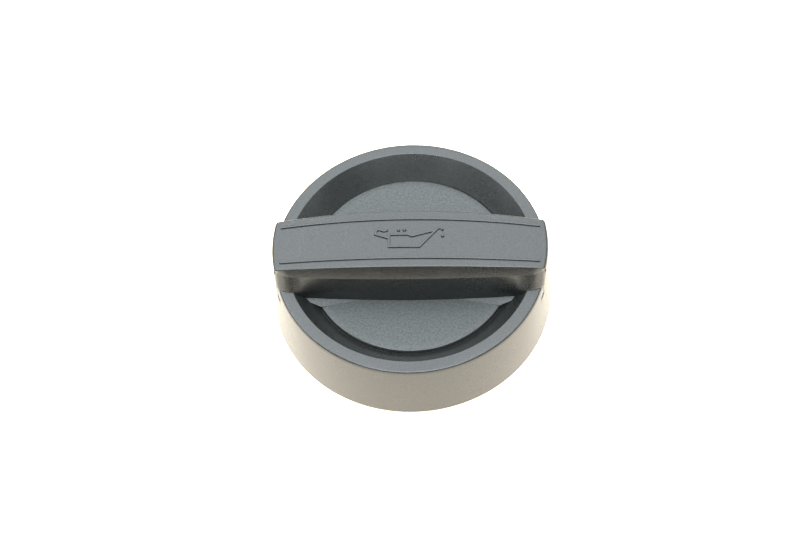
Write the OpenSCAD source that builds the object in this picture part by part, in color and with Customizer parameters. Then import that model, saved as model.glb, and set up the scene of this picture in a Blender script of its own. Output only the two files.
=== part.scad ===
// Quarter-turn oil filler cap: a hollow grip shell over a sealed closure body
// with a sprung bayonet plug. The cap stands upright on the plug's nose at z = 0.

/* [Grip shell] */
// Radius of the rim's outer edge
rim_r = 34; // [31:0.5:40]
// Radial width of the rim's flat band
rim_band = 3; // [2:0.1:3.6]
// Height of the band's inner edge above its outer edge
rim_rise = 0.45; // [0.1:0.05:1]
// Radius of the rim's rounded outer edge
rim_round = 0.8; // [0.4:0.1:1.2]
// Height of the skirt, from its foot to the rim
skirt_h = 17.4; // [16:0.2:24]
// How far the skirt's foot stands out past the rim's edge
skirt_flare = 0.95; // [0.4:0.05:1.6]
// Wall of the skirt
skirt_wall = 2.2; // [1.6:0.1:2.6]
// Radial width of the bowl's sloping wall
bowl_w = 3.7; // [3:0.1:4.4]
// Depth of the bowl wall's foot below the rim
bowl_depth = 3.2; // [2.6:0.1:4]
// Width of the groove round the disc
groove_w = 1.85; // [1.4:0.05:2.4]
// Depth of the groove below the bowl wall's foot
groove_depth = 1.7; // [1:0.1:2.2]
// Depth of the disc below the rim
disc_depth = 3.6; // [3:0.1:4]
// Width of the disc's rolled edge
disc_edge_w = 0.7; // [0.4:0.1:1.4]
// Fall of the disc's rolled edge
disc_edge_drop = 0.2; // [0.1:0.05:0.6]
// Thickness of the plate under the groove
plate_t = 1.5; // [1.2:0.1:2]

/* [Grip bar] */
// Height of the bar's crown above the rim
bar_h = 8.3; // [7:0.1:12]
// Fall of the bar's top from its middle to its ends
bar_crown = 2.9; // [1:0.1:3.2]
// Half width of the bar's top at its middle
bar_top_half = 8.2; // [7.6:0.1:9]
// How much the top's half width tapers towards the ends
bar_top_taper = 1.05; // [0.4:0.05:1.6]
// Height above the rim where the bar's bevel starts
bar_bevel_h = 5.15; // [4:0.05:6]
// Half width of the bar where the bevel starts, at its middle
bar_bevel_half = 10; // [9.4:0.1:11]
// How much that half width tapers towards the ends
bar_bevel_taper = 2; // [1:0.1:2.4]
// How much the bevel's start falls towards the ends
bar_bevel_fall = 1.5; // [0:0.1:2]
// Half width of the bar at rim height, at its middle
bar_foot_half = 10.4; // [10.2:0.1:11.4]
// How much the foot widens at the bar's ends
bar_foot_flare = 0.6; // [0:0.1:1]
// Wall of the hollow bar
bar_wall = 2.1; // [1.8:0.1:2.6]
// Thickness of the stiffening ribs inside the bar
bar_rib_t = 1.5; // [1:0.1:2]
// Distance of the outer stiffening ribs from the middle
bar_rib_x = 22; // [16:1:25]

/* [Raised lines and symbol] */
// Height of the raised lines above the bar's top
line_h = 0.35; // [0.15:0.05:0.6]
// Width of the two long lines
line_w = 0.6; // [0.3:0.1:1]
// Half distance between the two long lines at the middle
line_half = 5.75; // [5.2:0.05:6.4]
// How much that half distance tapers towards the ends
line_taper = 0.6; // [0.2:0.1:1.2]
// Distance of the lines' ends from the middle
line_end_x = 32.3; // [26:0.1:32.6]
// Width of the symbol's strokes
stroke_w = 0.6; // [0.3:0.05:0.8]
// Width of the oil-can symbol
symbol_w = 17.6; // [12:0.2:24]

/* [Closure body] */
// Thickness of the closure's flange
flange_t = 2.2; // [1.8:0.1:3]
// Wall of the sleeve that the plug slides in
sleeve_wall = 1.7; // [1.4:0.1:2]
// Length of the sleeve below the flange
sleeve_len = 5.9; // [5:0.1:6.4]
// Room between the flange and the plug's top edge
plug_room = 3.2; // [2.6:0.1:3.6]
// Radius of the central boss
boss_r = 6.5; // [5.6:0.1:8]
// Radius of the guide stem
stem_r = 4; // [3.4:0.1:4.6]
// Height of the snap bead inside the skirt
bead_h = 1.2; // [0.8:0.1:1.6]
// Depth of the snap bead
bead_depth = 0.75; // [0.5:0.05:0.9]

/* [Seal] */
// Thickness of the seal ring
seal_t = 2.8; // [2:0.1:3.4]
// Gap between the seal ring and the skirt
seal_margin = 2.7; // [1.4:0.1:3.4]

/* [Bayonet plug] */
// Outer radius of the plug
plug_r = 21; // [20:0.1:21.2]
// How far the plug's nose stands below the skirt
nose_drop = 9; // [8:0.2:12]
// Wall of the plug
plug_wall = 2.2; // [1.8:0.1:2.8]
// Thickness of the plug's web
web_t = 2; // [1.6:0.1:2.6]
// Depth of the web below the plug's top edge
web_drop = 1.6; // [1.2:0.1:2]
// How far the plug narrows above its nose wall
plug_step = 0.4; // [0.3:0.05:0.6]
// Reach of the bayonet lugs past the plug's wall
lug_reach = 3; // [2.4:0.1:3.4]
// Height of the lugs' lower face above the nose
lug_z = 5.5; // [5:0.1:6.5]
// Thickness of the lugs
lug_t = 3; // [2.4:0.1:3.6]
// Angle that each lug spans
lug_angle = 34; // [20:1:50]
// Number of lugs and of drive keys
lug_count = 3; // [2:1:4]
// Width of the drive keys
key_w = 3; // [2:0.2:4]
// Free travel of the plug against its spring
travel = 2; // [1:0.1:2]

/* [Spring and fixing] */
// Diameter of the spring's wire
wire_d = 1.2; // [0.9:0.1:1.4]
// Mean radius of the spring
spring_r = 6.2; // [5.8:0.1:7]
// Turns of the spring
spring_turns = 3.5; // [3:0.5:4]
// Radius of the spring washer
washer_r = 8; // [7.6:0.1:10]
// Thickness of the spring washer
washer_t = 1; // [0.8:0.1:1.4]
// Radius of the screw's head
head_r = 3.6; // [3:0.1:4.4]
// Height of the screw's head
head_h = 2; // [1.4:0.1:2.2]
// Radius of the screw's shank
screw_r = 1.55; // [1.2:0.05:1.9]
// Length of the screw's shank
screw_len = 10; // [7:0.5:12]

/* [Hidden] */
$fn = 96;

// Clearances shared by the pieces that meet
fit = 0.3;
slide_fit = 0.3;
seat_gap = 0.05;

// Overlap of bodies that are joined, and reach of cutters past what they cut
lap = 0.2;
past = 1;

// Heights of the shell's parts
rim_z = nose_drop + skirt_h;
disc_z = rim_z - disc_depth;
bowl_foot_z = rim_z - bowl_depth;
groove_z = bowl_foot_z - groove_depth;
plate_z = groove_z - plate_t;

// Radii of the shell's parts
rim_in_r = rim_r - rim_band;
bowl_foot_r = rim_in_r - bowl_w;
disc_edge_r = bowl_foot_r - groove_w;
disc_r = disc_edge_r - disc_edge_w;
foot_r = rim_r + skirt_flare;
edge_z = rim_z - rim_round * sin(50);
edge_r = rim_r - rim_round * cos(35);
side_r = edge_r + rim_round;
inner_top_r = side_r - skirt_wall;
inner_foot_r = foot_r - skirt_wall;
inner_top_z = rim_z - 0.6 * bowl_depth;
foot_round = 0.3;
round_steps = 6;
groove_side = 0.15;
groove_floor = 0.35;

// Sizes that follow for the bar
bar_root = 0.6;
bar_base_z = plate_z + bar_root;
bar_end_r = outer_r(bar_base_z + bar_root / 2);
foot_spread = 0.25;
mark_root = 0.4;
crown_r = (pow(rim_r, 2) + pow(bar_crown, 2)) / (2 * bar_crown);
station_count = 14;
station_reach = 1.03 * rim_r;
stations = [for (i = [-station_count : station_count]) station_reach * i / station_count];
ramp_start_x = 11;
ramp_tip = [27, 10.7, -2.35];
ramp_corner = [21.9, 12.4];

// Sizes that follow for the closure, the plug and the spring
flange_z = plate_z - flange_t;
flange_r = inner_r(flange_z) - fit;
bead_z = flange_z - 2 * seat_gap;
sleeve_z = flange_z - sleeve_len;
sleeve_in_r = plug_r + slide_fit;
sleeve_r = sleeve_in_r + sleeve_wall;
lug_r = plug_r + lug_reach;
seal_z = flange_z - seal_t;
seal_in_r = sleeve_r + seat_gap;
seal_w = inner_r(flange_z) - seal_margin - seal_in_r;
plug_top_z = flange_z - plug_room;
plug_in_r = plug_r - plug_wall;
web_top_z = plug_top_z - web_drop;
web_z = web_top_z - web_t;
head_z = 0.4;
washer_z = head_z + head_h;
stem_z = washer_z + washer_t;
spring_h = web_z - stem_z;
key_z = sleeve_z;
slot_z = key_z - travel - past;
slot_w = key_w + 2 * fit;
nose_round = 1;
nose_top_z = lug_z - fit;
rib_count = 6;
rib_t = 1.8;
rib_room = 0.4;
key_inset = 0.5;

// Radius of the shell's inner wall at a height
function inner_r(z) = inner_foot_r
    + (inner_top_r - inner_foot_r) * (z - nose_drop) / (inner_top_z - nose_drop);

// Radius of the skirt's outer wall at a height
function outer_r(z) = side_r + (foot_r - side_r) * (edge_z - z) / (edge_z - nose_drop);

// Points along an arc, from one angle to another
function arc(centre, r, from, to, steps) =
    [for (i = [0 : steps]) centre + r * [cos(from + (to - from) * i / steps),
        sin(from + (to - from) * i / steps)]];

// How far along the bar a station lies, squared, from 0 at the middle
function along(x) = pow(x / rim_r, 2);

// Height of the bar's top and half widths of its section at a station
function top_z(x) = rim_z + bar_h - bar_crown * along(x);
function top_half(x) = bar_top_half - bar_top_taper * along(x);
function bevel_z(x) = rim_z + bar_bevel_h - bar_bevel_fall * along(x);
function bevel_half(x) = bar_bevel_half - bar_bevel_taper * along(x);
function foot_half(x) = bar_foot_half + bar_foot_flare * pow(along(x), 2);

// Section of the bar at a station, moved in by an inset
function bar_section(x, inset, base) = [
    [x, -foot_half(x) - foot_spread + inset, base],
    [x, foot_half(x) + foot_spread - inset, base],
    [x, foot_half(x) - inset, rim_z],
    [x, bevel_half(x) - inset, bevel_z(x) - inset / 2],
    [x, top_half(x) - inset, top_z(x) - inset],
    [x, -top_half(x) + inset, top_z(x) - inset],
    [x, -bevel_half(x) + inset, bevel_z(x) - inset / 2],
    [x, -foot_half(x) + inset, rim_z]];

// Section of a raised line that follows the bar's top
function line_section(x, side) =
    let (y = side * (line_half - line_taper * along(x)), z = top_z(x))
    [[x, y - line_w / 2, z - mark_root], [x, y + line_w / 2, z - mark_root],
        [x, y + line_w / 2, z + line_h], [x, y - line_w / 2, z + line_h]];

// Solid through a row of sections that all have the same number of points
module loft(sections) {
    count = len(sections[0]);
    last = len(sections) - 1;
    sides = [for (i = [0 : last - 1], j = [0 : count - 1], half = [0, 1])
        let (k = (j + 1) % count, a = i * count + j, b = i * count + k,
            c = (i + 1) * count + k, d = (i + 1) * count + j)
        half == 0 ? [a, c, b] : [a, d, c]];
    ends = [[for (j = [0 : count - 1]) j], [for (j = [count - 1 : -1 : 0]) last * count + j]];
    polyhedron(points = [for (s = sections) each s], faces = concat(sides, ends));
}

// Ring with a rectangular section
module ring(r_in, r_out, z, h) {
    translate([0, 0, z])
        difference() {
            cylinder(r = r_out, h = h);
            translate([0, 0, -past])
                cylinder(r = r_in, h = h + 2 * past);
        }
}

// Section of the shell without its bar
module shell_profile() {
    polygon(concat(
        [[0, plate_z], [0, disc_z], [disc_r, disc_z],
            [disc_r + 0.6 * disc_edge_w, disc_z - 0.35 * disc_edge_drop],
            [disc_edge_r, disc_z - disc_edge_drop],
            [disc_edge_r + groove_side, groove_z],
            [disc_edge_r + groove_side + groove_floor, groove_z],
            [bowl_foot_r, bowl_foot_z],
            [rim_in_r, rim_z + rim_rise]],
        arc([edge_r, edge_z], rim_round, 84, 0, round_steps),
        [[foot_r, nose_drop + foot_round], [foot_r - foot_round, nose_drop],
            [inner_foot_r, nose_drop],
            [inner_top_r, inner_top_z],
            [bowl_foot_r, plate_z]]));
}

// Solid bar with round ends, moved in by an inset
module bar_body(inset, base) {
    intersection() {
        loft([for (x = stations) bar_section(x, inset, base)]);
        translate([0, 0, base])
            cylinder(r = bar_end_r - inset, h = bar_h + rim_z);
    }
}

// Ramp that lifts the floor beside one end of the bar
module floor_ramp() {
    base = groove_z - lap;
    tip = [ramp_tip.x, ramp_tip.y, rim_z + ramp_tip.z];
    inner_y = foot_half(0) - past;
    points = [[ramp_start_x, inner_y, base], [ramp_tip.x, inner_y, base],
        [tip.x, tip.y, base], [ramp_corner.x, ramp_corner.y, base],
        [ramp_start_x, inner_y, disc_z], [ramp_tip.x, inner_y, tip.z],
        tip, [ramp_corner.x, ramp_corner.y, disc_z]];
    polyhedron(points = points, faces = [[0, 1, 2], [0, 2, 3], [4, 6, 5], [4, 7, 6],
        [0, 4, 5], [0, 5, 1], [1, 5, 6], [1, 6, 2], [2, 6, 7], [2, 7, 3], [3, 7, 4], [3, 4, 0]]);
}

// One stroke of the symbol
module stroke(from, to) {
    reach = to - from;
    length = norm(reach);
    sides = 12;
    translate(from)
        rotate(atan2(reach.y, reach.x)) {
            translate([0, -stroke_w / 2])
                square([length, stroke_w]);
            for (x = [0, length])
                translate([x, 0])
                    rotate(180 / sides)
                        circle(d = stroke_w / cos(180 / sides), $fn = sides);
        }
}

// Strokes through a row of points
module strokes(points) {
    for (i = [0 : len(points) - 2])
        stroke(points[i], points[i + 1]);
}

// Outline of an oil can with its drop, drawn flat on a grid of 88 units across
module oil_can_outline() {
    unit = symbol_w / 88;
    drop_r = 2.5;
    drop = [41.5, 3];
    strokes(unit * [[-26, 5.5], [-26, -12], [12.5, -12], [35, 14.5], [38.5, 16], [41.5, 13]]);
    strokes(unit * [[-26, 5.5], [-2.5, 5.5], [3, 3], [31, 11.5]]);
    strokes(unit * [[-26, 0], [-45, 6], [-40, 12], [-31, 10], [-27, 9.5]]);
    strokes(unit * [[-16.5, 12], [-12, 12]]);
    strokes(unit * [[-9, 12], [-4.5, 12]]);
    translate(unit * drop)
        circle(r = unit * drop_r, $fn = 24);
    stroke(unit * (drop + [0, drop_r]), unit * drop);
}

// Raised lines and symbol on the bar's top
module raised_marks() {
    marked = [for (x = stations) if (abs(x) < line_end_x) x];
    rows = concat([-line_end_x], marked, [line_end_x]);
    for (side = [-1, 1])
        loft([for (x = rows) line_section(x, side)]);
    intersection() {
        translate([0, 0, top_z(symbol_w / 2) - mark_root])
            linear_extrude(bar_h)
                oil_can_outline();
        translate([0, 0, top_z(0) + line_h - crown_r])
            rotate([90, 0, 0])
                cylinder(r = crown_r, h = 4 * bar_top_half, center = true, $fn = 720);
    }
}

// Cavity under the bar, open downwards, with its stiffening ribs left standing
module bar_cavity() {
    difference() {
        bar_body(bar_wall, plate_z - past);
        for (x = [-bar_rib_x, -bar_rib_x / 2, bar_rib_x / 2, bar_rib_x])
            translate([x - bar_rib_t / 2, -bar_end_r, plate_z])
                cube([bar_rib_t, 2 * bar_end_r, bar_h + rim_z]);
    }
}

module grip_shell() {
    color("#3b4043") {
        difference() {
            union() {
                rotate_extrude()
                    shell_profile();
                bar_body(0, bar_base_z);
                for (side = [0, 1], end = [0, 1])
                    mirror([end, 0, 0])
                        mirror([0, side, 0])
                            floor_ramp();
            }
            bar_cavity();
        }
        raised_marks();
        rotate_extrude()
            polygon([[inner_r(bead_z) + lap, bead_z],
                [inner_r(bead_z) - bead_depth, bead_z],
                [inner_r(bead_z - bead_h) + lap, bead_z - bead_h]]);
    }
}

module closure_body() {
    color("#2b2d2f")
        difference() {
            union() {
                translate([0, 0, flange_z])
                    cylinder(r = flange_r, h = flange_t);
                ring(sleeve_in_r, sleeve_r, sleeve_z, sleeve_len + lap);
                translate([0, 0, web_top_z])
                    cylinder(r = boss_r, h = flange_z - web_top_z + lap);
                translate([0, 0, stem_z])
                    cylinder(r = stem_r, h = web_top_z - stem_z + lap);
                for (i = [0 : rib_count - 1])
                    rotate(360 * i / rib_count)
                        translate([boss_r - past, -rib_t / 2, plug_top_z + rib_room])
                            cube([sleeve_r - boss_r, rib_t, flange_z - plug_top_z]);
                for (i = [0 : lug_count - 1])
                    rotate(360 * i / lug_count)
                        translate([plug_in_r + key_inset, -key_w / 2, key_z])
                            cube([sleeve_r - plug_in_r - 2 * key_inset, key_w, sleeve_len + lap]);
            }
            translate([0, 0, stem_z - past])
                cylinder(r = screw_r + seat_gap, h = screw_len + 2 * past);
        }
}

module seal_ring() {
    corner = 0.4;
    color("#1d1d1d")
        rotate_extrude()
            translate([seal_in_r, seal_z])
                polygon([[0, corner], [corner, 0], [seal_w - corner, 0], [seal_w, corner],
                    [seal_w, seal_t - corner], [seal_w - corner, seal_t], [0, seal_t]]);
}

module bayonet_plug() {
    color("#2b2d2f")
        difference() {
            union() {
                rotate_extrude()
                    polygon([[plug_in_r, 0], [plug_r - nose_round, 0], [plug_r, nose_round],
                        [plug_r, nose_top_z], [plug_r - plug_step, nose_top_z + plug_step],
                        [plug_r - plug_step, plug_top_z],
                        [plug_in_r, plug_top_z], [plug_in_r, web_top_z],
                        [stem_r + slide_fit, web_top_z], [stem_r + slide_fit, web_z],
                        [plug_in_r, web_z]]);
                for (i = [0 : lug_count - 1])
                    rotate(360 * i / lug_count + 180 / lug_count)
                        lug();
            }
            for (i = [0 : lug_count - 1])
                rotate(360 * i / lug_count)
                    translate([plug_in_r - past, -slot_w / 2, slot_z])
                        cube([plug_wall + 2 * past, slot_w, plug_top_z - slot_z + past]);
        }
}

// One bayonet lug, centred on +X
module lug() {
    half = lug_angle / 2;
    far = 2 * lug_r;
    intersection() {
        ring(plug_in_r + key_inset, lug_r, lug_z, lug_t);
        translate([0, 0, lug_z - past])
            linear_extrude(lug_t + 2 * past)
                polygon([[0, 0], [far * cos(half), -far * sin(half)],
                    [far * cos(half), far * sin(half)]]);
    }
}

module lock_spring() {
    wire_sides = 8;
    turn_steps = 24;
    steps = spring_turns * turn_steps;
    rise = spring_h - wire_d - 2 * seat_gap;
    rings = [for (i = [0 : steps])
        let (a = 360 * i / turn_steps, z = stem_z + seat_gap + wire_d / 2 + rise * i / steps)
        [for (j = [0 : wire_sides - 1])
            let (b = -360 * j / wire_sides, r = spring_r + wire_d / 2 * cos(b))
            [r * cos(a), r * sin(a), z + wire_d / 2 * sin(b)]]];
    color("#b9bcc0")
        loft(rings);
}

module spring_washer() {
    color("#a9acb0")
        ring(screw_r + fit, washer_r, washer_z, washer_t);
}

module retaining_screw() {
    recess_w = 1;
    recess_len = 4;
    recess_depth = 1.2;
    color("#9a9da1")
        difference() {
            union() {
                translate([0, 0, head_z])
                    cylinder(r = head_r, h = head_h);
                translate([0, 0, washer_z - lap])
                    cylinder(r = screw_r, h = screw_len + washer_t + lap);
            }
            for (a = [0, 90])
                rotate(a)
                    translate([-recess_len / 2, -recess_w / 2, head_z - past])
                        cube([recess_len, recess_w, recess_depth + past]);
        }
}

grip_shell();
closure_body();
seal_ring();
bayonet_plug();
lock_spring();
spring_washer();
retaining_screw();
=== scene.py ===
import math

import bpy
import numpy as np
from mathutils import Matrix, Vector


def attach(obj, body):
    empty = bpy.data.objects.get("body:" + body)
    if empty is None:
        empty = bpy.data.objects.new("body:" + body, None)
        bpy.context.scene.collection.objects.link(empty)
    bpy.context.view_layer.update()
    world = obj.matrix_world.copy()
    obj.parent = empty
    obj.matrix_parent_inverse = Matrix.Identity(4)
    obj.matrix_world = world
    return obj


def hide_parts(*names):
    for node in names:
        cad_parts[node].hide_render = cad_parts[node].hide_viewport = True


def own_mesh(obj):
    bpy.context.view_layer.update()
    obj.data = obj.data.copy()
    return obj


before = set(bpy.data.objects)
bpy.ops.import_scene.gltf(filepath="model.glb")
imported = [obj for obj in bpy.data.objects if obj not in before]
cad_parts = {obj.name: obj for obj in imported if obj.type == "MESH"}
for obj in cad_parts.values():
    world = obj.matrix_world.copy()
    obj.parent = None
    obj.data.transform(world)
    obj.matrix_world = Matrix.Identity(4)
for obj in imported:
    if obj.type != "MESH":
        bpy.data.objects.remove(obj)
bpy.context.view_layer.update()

MM = 0.001
RIM_Z = 26.4

# Shapes


def smooth(t):
    t = min(1.0, max(0.0, t))
    return t * t * (3 - 2 * t)


def rounded(points, radii, steps=4):
    """A polyline whose corners with a radius are replaced by arcs."""
    out = [points[0]]
    for last_p, p, next_p, r in zip(points, points[1:], points[2:], radii[1:]):
        if r <= 0:
            out.append(p)
            continue
        a = np.subtract(last_p, p)
        b = np.subtract(next_p, p)
        la, lb = np.linalg.norm(a), np.linalg.norm(b)
        a, b = a / la, b / lb
        half = math.acos(max(-1.0, min(1.0, float(a @ b)))) / 2
        cut = min(r / math.tan(half), 0.45 * la, 0.45 * lb)
        start, end = np.array(p) + a * cut, np.array(p) + b * cut
        if half > math.radians(89):
            out += [tuple(start + (end - start) * i / steps) for i in range(steps + 1)]
            continue
        mid = a + b
        centre = np.array(p) + mid / np.linalg.norm(mid) * cut / math.cos(half)
        start, end = start - centre, end - centre
        turn = math.atan2(start[0] * end[1] - start[1] * end[0], float(start @ end))
        for i in range(steps + 1):
            t = turn * i / steps
            c, s = math.cos(t), math.sin(t)
            out.append((centre[0] + c * start[0] - s * start[1],
                        centre[1] + s * start[0] + c * start[1]))
    out.append(points[-1])
    return out


class Mesh:
    """Collects vertices in millimetres and faces."""

    def __init__(self):
        self.verts, self.faces = [], []

    def add(self, verts, faces):
        base = len(self.verts)
        self.verts += [tuple(float(c) for c in v) for v in verts]
        self.faces += [tuple(base + i for i in f) for f in faces]

    def piece(self, name, body, sharp=35):
        data = bpy.data.meshes.new(name)
        data.from_pydata([(x * MM, y * MM, z * MM) for x, y, z in self.verts], [], self.faces)
        data.validate()
        data.polygons.foreach_set("use_smooth", [True] * len(data.polygons))
        data.set_sharp_from_angle(angle=math.radians(sharp))
        data.update()
        o = bpy.data.objects.new(name, data)
        bpy.context.scene.collection.objects.link(o)
        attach(o, body)
        return o


def lathe(mesh, profile, segments):
    """A solid of revolution about Z; a point at radius 0 is shared by all segments."""
    verts, rows = [], []
    for r, z in profile:
        if r < 1e-6:
            rows.append([len(verts)] * segments)
            verts.append((0, 0, z))
        else:
            rows.append(list(range(len(verts), len(verts) + segments)))
            for k in range(segments):
                a = 2 * math.pi * k / segments
                verts.append((r * math.cos(a), r * math.sin(a), z))
    faces = []
    for lower, upper in zip(rows, rows[1:] + rows[:1]):
        for k in range(segments):
            m = (k + 1) % segments
            face = []
            for i in (lower[k], upper[k], upper[m], lower[m]):
                if i not in face:
                    face.append(i)
            if len(face) > 2:
                faces.append(face)
    mesh.add(verts, faces)


# Grip shell

# Radii and heights of the bowl
DISC_Z = RIM_Z - 3.6
DISC_R = 25.3
ROLL_R, ROLL_DROP = 23.9, 0.26
GROOVE_Z = RIM_Z - 4.9
BOWL_FOOT_R, BOWL_FOOT_Z = 27.3, RIM_Z - 3.2
RIM_IN_R, RIM_R, RIM_RISE = 30.96, 34.0, 0.45
FOOT_R, FOOT_Z = 34.94, 9.0
INNER_FOOT_R, INNER_TOP_R, INNER_TOP_Z = 32.75, 31.94, 24.54
PLATE_R, PLATE_Z = 27.16, 20.02
SEGMENTS = 288

# Points of the bowl's section, each with the radius of its corner
bowl_corners = [
    ((0, DISC_Z), 0), ((ROLL_R, DISC_Z), 3.0), ((DISC_R, DISC_Z - ROLL_DROP), 0.35),
    ((DISC_R + 0.2, GROOVE_Z), 0), ((DISC_R + 0.25, GROOVE_Z), 0),
    ((BOWL_FOOT_R, BOWL_FOOT_Z), 3.0), ((RIM_IN_R, RIM_Z + RIM_RISE), 0.35),
    ((RIM_R, RIM_Z + 0.02), 0.75), ((RIM_R + 0.16, RIM_Z - 0.9), 0.8),
    ((FOOT_R, FOOT_Z + 0.05), 0.25), ((FOOT_R - 0.34, FOOT_Z), 0.2), ((INNER_FOOT_R, FOOT_Z), 0.3),
    ((INNER_TOP_R, INNER_TOP_Z), 1.0), ((PLATE_R, PLATE_Z), 0.8), ((0, PLATE_Z), 0)]
bowl_profile = [point for point, radius in bowl_corners]
bowl_radii = [radius for point, radius in bowl_corners]

shell = Mesh()
lathe(shell, rounded(bowl_profile, bowl_radii, 5), SEGMENTS)

# Sizes of the bar: its crown, its section at the middle and its tapers
BAR_END_R = 34.42
BAR_BASE_Z = 20.7
BAR_H, BAR_CROWN = 8.26, 3.1
TOP_HALF, TOP_TAPER = 8.2, 1.08
BEVEL_HALF, BEVEL_TAPER = 10.0, 2.0
BEVEL_H, BEVEL_FALL = 5.1, 1.48
RIM_HALF, FLOOR_HALF = 10.35, 10.67
FRONT_EDGE_R, BACK_EDGE_R, END_EDGE_R = 0.4, 0.7, 0.6
CORNER_START, CORNER_R = 30.3, 4.2
# The stations' share of the bar's length that its section is read at
READ_SHARE = 0.985


def along(x):
    """How far along the bar a station lies, squared, from 0 at the middle."""
    return (x / RIM_R) ** 2


def top_z(x):
    """Height of the bar's top at a station."""
    return RIM_Z + BAR_H - BAR_CROWN * along(x)


def half_section(x):
    """Half of the bar's section from the middle of its top to its foot, as (y, z)."""
    end = smooth((abs(x) - 26.0) / 3.0)
    rim_w = RIM_HALF + 0.55 * end
    floor_w = max(FLOOR_HALF - 0.37 * smooth(abs(x) / 21.0) + 0.68 * end, rim_w + 0.03)
    return [
        (0, top_z(x)), (TOP_HALF - TOP_TAPER * along(x), top_z(x)),
        (BEVEL_HALF - BEVEL_TAPER * along(x), RIM_Z + BEVEL_H - BEVEL_FALL * along(x)),
        (rim_w, RIM_Z + 0.2), (floor_w, DISC_Z), (floor_w + 0.12, BAR_BASE_Z)]


def bar_chain(x, top_steps=14):
    """The whole upper outline of the section, from one foot to the other."""
    halves = []
    for top_r in (FRONT_EDGE_R, BACK_EDGE_R):
        side = rounded(half_section(x), [0, top_r, 0.35, 2.0, 0.5], 4)
        flat = side[1][0]
        halves.append([(flat * i / top_steps, side[0][1]) for i in range(top_steps)] + side[1:])
    return [(-y, z) for y, z in reversed(halves[0][1:])] + halves[1]


stations = [i / 90.0 for i in range(-90, 91)]
ends = []
for i in range(1, 6):
    t = math.radians(90 * i / 5)
    ends.append((1.0 - END_EDGE_R * (1 - math.sin(t)) / BAR_END_R, END_EDGE_R * (1 - math.cos(t))))
inner = 1.0 - END_EDGE_R / BAR_END_R
plan = [(s, 0.0) for s in stations if abs(s) < inner - 0.004]
plan = [(-s, d) for s, d in reversed(ends)] + [(-inner, 0.0)] + plan + [(inner, 0.0)] + ends


def corner_pull(x, z):
    """How far the bar's sides turn in towards its ends, below the edge of the top."""
    t = min(0.85, max(0.0, (abs(x) - CORNER_START) / CORNER_R))
    depth = min(1.0, max(0.0, (top_z(x) - 0.3 - z) / 1.6))
    return CORNER_R * (1 - math.sqrt(1 - t * t)) * depth * (z > DISC_Z)


bar_rows = []
for s, drop in plan:
    row = []
    station = s * BAR_END_R * READ_SHARE
    for y, z in bar_chain(station):
        y -= math.copysign(corner_pull(station, z), y)
        y -= math.copysign(drop * min(1.0, abs(y) / 7.0), y)
        reach = math.sqrt(BAR_END_R ** 2 - y * y)
        crown = top_z(s * reach) - top_z(station)
        row.append((s * reach, y, z + crown * (abs(y) < TOP_HALF) - drop * (z > RIM_Z)))
    bar_rows.append(row)
count = len(bar_rows[0])
verts, faces = [], []
for row in bar_rows:
    verts += row
    verts += [(x, y, BAR_BASE_Z - 0.05) for x, y, z in row]
for i in range(len(bar_rows) - 1):
    a, b = i * 2 * count, (i + 1) * 2 * count
    for j in range(count - 1):
        faces.append((a + j, b + j, b + j + 1, a + j + 1))
        faces.append((a + count + j, a + count + j + 1, b + count + j + 1, b + count + j))
    faces.append((a, a + count, b + count, b))
    j = count - 1
    faces.append((a + j, b + j, b + count + j, a + count + j))
last = (len(bar_rows) - 1) * 2 * count
for j in range(count - 1):
    faces.append((j, j + 1, count + j + 1, count + j))
    faces.append((last + j, last + count + j, last + count + j + 1, last + j + 1))
shell.add(verts, faces)

# Ramps that lift the floor beside the bar's ends and run into the disc without a crease
RAMP_START, RAMP_CORNER, RAMP_TIP = (8.0, 9.6), (22.2, 12.42), (27.0, 10.7)
RAMP_RISE = RIM_Z - 2.35 - DISC_Z
for sx in (-1, 1):
    for sy in (-1, 1):
        rows = []
        for i in range(13):
            u = i / 12.0
            near = (RAMP_START[0] + (RAMP_TIP[0] - RAMP_START[0]) * u, RAMP_START[1])
            far = (RAMP_CORNER[0] + (RAMP_TIP[0] - RAMP_CORNER[0]) * u,
                   RAMP_CORNER[1] + (RAMP_TIP[1] - RAMP_CORNER[1]) * u)
            z = DISC_Z + 0.004 + RAMP_RISE * (0.55 * u + 0.45 * u * u)
            rows.append([(near[0] + (far[0] - near[0]) * v, near[1] + (far[1] - near[1]) * v, z)
                         for v in (0.0, 0.25, 0.5, 0.75, 1.0)])
        n = len(rows[0])
        pts = [q for row in rows for q in row]
        under = len(pts)
        pts += [(x, y, DISC_Z - 1.2) for x, y, z in pts]
        quads = [(i * n + j, (i + 1) * n + j, (i + 1) * n + j + 1, i * n + j + 1)
                 for i in range(len(rows) - 1) for j in range(n - 1)]
        quads += [tuple(under + k for k in reversed(q)) for q in quads]
        rim = ([(i * n, (i + 1) * n) for i in range(len(rows) - 1)]
               + [((len(rows) - 1) * n + j, (len(rows) - 1) * n + j + 1) for j in range(n - 1)]
               + [((i + 1) * n + n - 1, i * n + n - 1) for i in reversed(range(len(rows) - 1))]
               + [(j + 1, j) for j in reversed(range(n - 1))])
        quads += [(a + under, b + under, b, a) for a, b in rim]
        pts = [(sx * x, sy * y, z) for x, y, z in pts]
        if sx * sy < 0:
            quads = [tuple(reversed(q)) for q in quads]
        shell.add(pts, quads)


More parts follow.
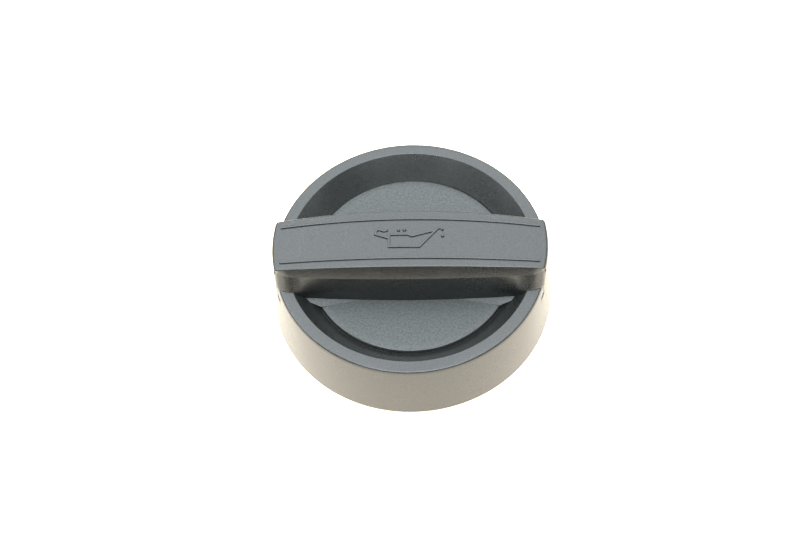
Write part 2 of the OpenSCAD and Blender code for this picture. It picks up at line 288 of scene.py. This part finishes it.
def ridge(mesh, points, width, height, steps=1):
    """A raised, flat-topped stroke that follows the bar's top through plan points."""
    fine = []
    for p, q in zip(points, points[1:]):
        for k in range(steps):
            fine.append((p[0] + (q[0] - p[0]) * k / steps, p[1] + (q[1] - p[1]) * k / steps))
    fine.append(points[-1])
    section = [(-0.56, -0.25), (-0.5, 0.66), (-0.44, 0.9), (-0.32, 1.0), (0.32, 1.0),
               (0.44, 0.9), (0.5, 0.66), (0.56, -0.25)]
    rows = []
    for i, p in enumerate(fine):
        p = Vector(p)
        d0 = (p - Vector(fine[i - 1])).normalized() if i else None
        d1 = (Vector(fine[i + 1]) - p).normalized() if i < len(fine) - 1 else None
        d = (d0 + d1).normalized() if d0 and d1 else (d0 or d1)
        side = Vector((-d.y, d.x))
        wide = 1.0 / max(0.5, d.dot(d0)) if d0 and d1 else 1.0
        rows.append([(p.x + side.x * v * width * wide, p.y + side.y * v * width * wide, h)
                     for v, h in section])
    for end, near in ((0, 1), (-1, -2)):
        cap = Vector(fine[end])
        past = (cap - Vector(fine[near])).normalized() * width * 0.3
        out = [(cap.x + past.x + (x - cap.x) * 0.6, cap.y + past.y + (y - cap.y) * 0.6,
                min(h, 0.55)) for x, y, h in rows[end]]
        if end == 0:
            rows.insert(0, out)
        else:
            rows.append(out)
    n = len(section)
    verts = [(x, y, top_z(x) + height * h) for row in rows for x, y, h in row]
    faces = [(i * n + j, i * n + (j + 1) % n, (i + 1) * n + (j + 1) % n, (i + 1) * n + j)
             for i in range(len(rows) - 1) for j in range(n)]
    faces += [tuple(range(n - 1, -1, -1)), tuple((len(rows) - 1) * n + j for j in range(n))]
    faces = [tuple(reversed(f)) for f in faces]
    mesh.add(verts, faces)


# The two long lines and the strokes of the oil-can symbol
LINE_END, LINE_H, STROKE = 32.3, 0.36, 0.58
LINE_HALF, LINE_TAPER = 5.73, 0.62
for side in (-1, 1):
    xs = [LINE_END * (i / 48.0 - 1) for i in range(97)]
    ridge(shell, [(x, side * (LINE_HALF - LINE_TAPER * along(x))) for x in xs], STROKE, LINE_H)

strokes = [
    [(-5.1, 1.12), (-5.1, -2.4), (2.47, -2.47), (6.99, 2.88), (7.68, 3.14), (8.23, 2.51)],
    [(-4.8, 1.16), (-0.47, 1.13), (0.6, 0.64), (5.2, 2.02), (6.3, 2.3)],
    [(-5.1, 0.05), (-8.5, 1.32), (-8.3, 2.4), (-7.75, 2.7), (-6.35, 2.22), (-5.5, 2.42)],
    [(-3.0, 2.4), (-2.5, 2.38)],
    [(-1.55, 2.38), (-0.97, 2.48)]]
for points in strokes:
    ridge(shell, points, STROKE, LINE_H, 3)

# The drop under the spout: round below, pointed above
DROP_R, DROP_TIP, DROP_X, DROP_Y = 0.42, 0.95, 8.24, 0.72
outline = [(0.0, DROP_TIP)]
for k in range(13):
    turn = math.radians(150 + 240 * k / 12)
    outline.append((DROP_R * math.cos(turn), DROP_R * math.sin(turn)))
verts = [(DROP_X + x, DROP_Y + y, top_z(DROP_X) - 0.1) for x, y in outline]
verts += [(DROP_X + x, DROP_Y + y, top_z(DROP_X) + 0.7 * LINE_H) for x, y in outline]
verts += [(DROP_X + 0.8 * x, DROP_Y + 0.8 * y, top_z(DROP_X) + LINE_H) for x, y in outline]
n = len(outline)
faces = [(k * n + i, k * n + (i + 1) % n, (k + 1) * n + (i + 1) % n, (k + 1) * n + i)
         for k in range(2) for i in range(n)]
faces += [tuple(reversed(range(n))), tuple(range(2 * n, 3 * n))]
shell.add(verts, faces)

shell_piece = shell.piece("shell_moulding", "cap", 32)
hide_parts("grip_shell")

# Lock spring

SPRING_LOW, SPRING_HIGH = 3.4, 11.0
WIRE_R, COIL_R, TURNS = 0.6, 6.2, 4.5
TURN_STEPS, WIRE_STEPS = 48, 16
coil = Mesh()
rings = []
steps = int(TURNS * TURN_STEPS)
for i in range(steps + 1):
    u = i / steps
    turn = 2 * math.pi * TURNS * u
    flat = 0.8 / TURNS
    rise = min(1.0, max(0.0, (u - flat) / (1 - 2 * flat)))
    z = SPRING_LOW + 0.02 + WIRE_R + (SPRING_HIGH - SPRING_LOW - 0.04 - 2 * WIRE_R) * rise
    rings.append([((COIL_R + WIRE_R * math.cos(b)) * math.cos(turn),
                   (COIL_R + WIRE_R * math.cos(b)) * math.sin(turn),
                   z + WIRE_R * math.sin(b))
                  for b in (2 * math.pi * k / WIRE_STEPS for k in range(WIRE_STEPS))])
verts = [v for ring in rings for v in ring]
w = WIRE_STEPS
faces = [(i * w + j, (i + 1) * w + j, (i + 1) * w + (j + 1) % w, i * w + (j + 1) % w)
         for i in range(steps) for j in range(w)]
faces += [tuple(range(w)), tuple(steps * w + j for j in range(w - 1, -1, -1))]
coil.add(verts, faces)
coil_piece = coil.piece("spring_coil", "cap", 50)
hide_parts("lock_spring")
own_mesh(coil_piece)

# Materials


def material(name, base, vary, roughness, rough_vary, scale, bump, specular=0.5,
             metallic=0.0, grain_scale=None, tint=None, speckle=False):
    """A procedural material: slow colour and roughness variation with a fine bump.

    With a speckle the colour varies with the fine grain instead of the slow noise.
    """
    m = bpy.data.materials.new(name)
    m.use_nodes = True
    nt = m.node_tree
    nodes, links = nt.nodes, nt.links
    shader = nodes["Principled BSDF"]
    coord = nodes.new("ShaderNodeTexCoord")
    slow = nodes.new("ShaderNodeTexNoise")
    slow.inputs["Scale"].default_value = scale
    slow.inputs["Detail"].default_value = 4
    links.new(coord.outputs["Object"], slow.inputs["Vector"])
    ramp = nodes.new("ShaderNodeMix")
    ramp.data_type = "RGBA"
    dark = [c * (1 - vary) for c in base]
    light = [c * (1 + vary) * t for c, t in zip(base, tint or (1, 1, 1))]
    ramp.inputs[6].default_value = (*dark, 1)
    ramp.inputs[7].default_value = (*light, 1)
    links.new(slow.outputs["Fac"], ramp.inputs[0])
    links.new(ramp.outputs[2], shader.inputs["Base Color"])
    rough = nodes.new("ShaderNodeMapRange")
    rough.inputs["To Min"].default_value = roughness - rough_vary
    rough.inputs["To Max"].default_value = roughness + rough_vary
    links.new(slow.outputs["Fac"], rough.inputs["Value"])
    links.new(rough.outputs["Result"], shader.inputs["Roughness"])
    grain = nodes.new("ShaderNodeTexNoise")
    grain.inputs["Scale"].default_value = grain_scale or scale * 12
    grain.inputs["Detail"].default_value = 3
    grain.inputs["Roughness"].default_value = 0.6
    links.new(coord.outputs["Object"], grain.inputs["Vector"])
    bumper = nodes.new("ShaderNodeBump")
    bumper.inputs["Strength"].default_value = bump
    bumper.inputs["Distance"].default_value = 0.00003
    links.new(grain.outputs["Fac"], bumper.inputs["Height"])
    links.new(bumper.outputs["Normal"], shader.inputs["Normal"])
    shader.inputs["Metallic"].default_value = metallic
    shader.inputs["Specular IOR Level"].default_value = specular
    if speckle:
        fleck = nodes.new("ShaderNodeMapRange")
        fleck.inputs["From Min"].default_value = 0.35
        fleck.inputs["From Max"].default_value = 0.65
        links.new(grain.outputs["Fac"], fleck.inputs["Value"])
        links.new(fleck.outputs["Result"], ramp.inputs[0])
    return m


SHELL_BASE = (0.0145, 0.0155, 0.0148)
DISC_BASE = (0.050, 0.054, 0.052)
shell_plastic = material("satin_black", SHELL_BASE, 0.6, 0.28, 0.03, 90, 0.7, specular=0.8,
                         grain_scale=2400, speckle=True)
disc_plastic = material("grained_black", DISC_BASE, 0.3, 0.56, 0.04, 90, 1.0, specular=0.55,
                        grain_scale=1800, speckle=True)
inner_plastic = material("inner_black", (0.03, 0.031, 0.033), 0.15, 0.34, 0.06, 120, 0.5)
rubber = material("seal_rubber", (0.018, 0.018, 0.019), 0.2, 0.62, 0.08, 200, 0.8)
steel = material("spring_wire", (0.52, 0.52, 0.53), 0.08, 0.28, 0.06, 400, 0.4, metallic=1.0)
zinc = material("zinc_plate", (0.60, 0.60, 0.58), 0.1, 0.33, 0.08, 260, 0.5, metallic=1.0,
                tint=(1.0, 0.98, 0.92))

# The disc and the ramps beside it have a coarser grain than the rest of the shell
GRAINED_R, GRAINED_LOW, GRAINED_HIGH = 29.1, -0.3, 1.4
shell_piece.data.materials.append(shell_plastic)
shell_piece.data.materials.append(disc_plastic)
for face in shell_piece.data.polygons:
    x, y, z = face.center / MM
    inside = GRAINED_LOW < z - DISC_Z < GRAINED_HIGH and math.hypot(x, y) < GRAINED_R
    if inside and face.normal.z > 0.9:
        face.material_index = 1
coil_piece.data.materials.append(steel)
finishes = {"grip_shell": shell_plastic, "closure_body": inner_plastic, "seal_ring": rubber,
            "bayonet_plug": inner_plastic, "lock_spring": steel, "spring_washer": zinc,
            "retaining_screw": zinc}
for name, finish in finishes.items():
    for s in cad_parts[name].material_slots:
        s.material = finish

# Floor and light

scene = bpy.context.scene
scene.view_settings.view_transform = "Standard"
scene.view_settings.look = "None"
scene.view_settings.exposure = 0
scene.view_settings.gamma = 1

# The table is lit from below as well, so the cap throws no shadow on it
FLOOR_GLOW = (1.35, 1.15, 0.95)
FLOOR_SIZE = 6
bpy.ops.mesh.primitive_plane_add(size=FLOOR_SIZE, location=(0, 0, 0))
floor = bpy.context.object
floor.name = "floor"
floor_paint = material("floor_paint", (0.82, 0.74, 0.61), 0.01, 0.7, 0.02, 3, 0.0, specular=0.1)
glow = floor_paint.node_tree.nodes["Principled BSDF"]
glow.inputs["Emission Color"].default_value = (*FLOOR_GLOW, 1)
glow.inputs["Emission Strength"].default_value = 1.0
floor.data.materials.append(floor_paint)

COOL = (0.89, 0.96, 1.0)


def area(name, place, aim, size, power, colour):
    data = bpy.data.lights.new(name, "AREA")
    data.shape = "RECTANGLE"
    data.size, data.size_y = size
    data.energy = power
    data.color = colour
    o = bpy.data.objects.new(name, data)
    scene.collection.objects.link(o)
    o.location = place
    o.rotation_euler = (Vector(aim) - Vector(place)).to_track_quat("-Z", "Y").to_euler()
    return o


def softbox(name, azimuth, elevation, wide, high, level, colour=COOL, distance=1.6):
    """A softbox seen from the cap under the given angles; level is its radiance."""
    a, e = math.radians(azimuth), math.radians(elevation)
    place = Vector((math.sin(a) * math.cos(e), math.cos(a) * math.cos(e), math.sin(e))) * distance
    size = [2 * distance * math.tan(math.radians(s) / 2) for s in (wide, high)]
    return area(name, place, (0, 0, 0), size, level * math.pi * size[0] * size[1], colour)


softbox("back_low", 0, 16, 60, 22, 0.5)
softbox("back_mid", 0, 40, 60, 24, 3.9)
softbox("back_high", 0, 65, 50, 24, 3.6)
softbox("zenith", 0, 90, 26, 26, 2.6)
softbox("left_low", -75, 20, 40, 24, 0.45)
softbox("left_mid", -75, 45, 44, 28, 4.9)
softbox("left_high", -90, 70, 26, 26, 3.6)
softbox("left_front", -125, 40, 40, 26, 0.85)
softbox("right_low", 75, 20, 40, 24, 0.5)
softbox("right_mid", 75, 45, 44, 28, 2.5)
softbox("right_high", 90, 70, 26, 26, 4.1)
softbox("right_front", 125, 40, 40, 26, 0.3)
softbox("front_mid", 180, 40, 60, 26, 0.45)
softbox("front_high", 180, 66, 44, 24, 8.6)
WORLD_LEVEL = 0.02

world = bpy.data.worlds.new("studio")
scene.world = world
world.use_nodes = True
back = world.node_tree.nodes["Background"]
back.inputs["Color"].default_value = (*COOL, 1)
back.inputs["Strength"].default_value = WORLD_LEVEL

# Camera

ELEVATION, HEADING, ROLL = math.radians(57.19), math.radians(3.97), math.radians(3.86)
DISTANCE, FOCAL_PX, WIDTH_PX, HEIGHT_PX = 0.9, 3601.0, 800, 533
CENTRE_PX = (410.61, 256.38)
forward = Vector((-math.sin(HEADING) * math.cos(ELEVATION),
                  math.cos(HEADING) * math.cos(ELEVATION), -math.sin(ELEVATION)))
level = Vector((math.cos(HEADING), math.sin(HEADING), 0))
upright = level.cross(forward)
right = math.cos(ROLL) * level - math.sin(ROLL) * upright
up = math.sin(ROLL) * level + math.cos(ROLL) * upright
shift_x = (CENTRE_PX[0] - WIDTH_PX / 2) * DISTANCE / FOCAL_PX
shift_y = (HEIGHT_PX / 2 - CENTRE_PX[1]) * DISTANCE / FOCAL_PX
eye = Vector((0, 0, RIM_Z * MM)) - shift_x * right - shift_y * up - DISTANCE * forward
cam_data = bpy.data.cameras.new("camera")
cam_data.lens = FOCAL_PX / WIDTH_PX * 36
cam_data.sensor_width = 36
cam_data.clip_start = 0.05
cam_data.clip_end = 50
cam = bpy.data.objects.new("camera", cam_data)
scene.collection.objects.link(cam)
cam.matrix_world = Matrix(((right.x, up.x, -forward.x, eye.x), (right.y, up.y, -forward.y, eye.y),
                           (right.z, up.z, -forward.z, eye.z), (0, 0, 0, 1)))
scene.camera = cam
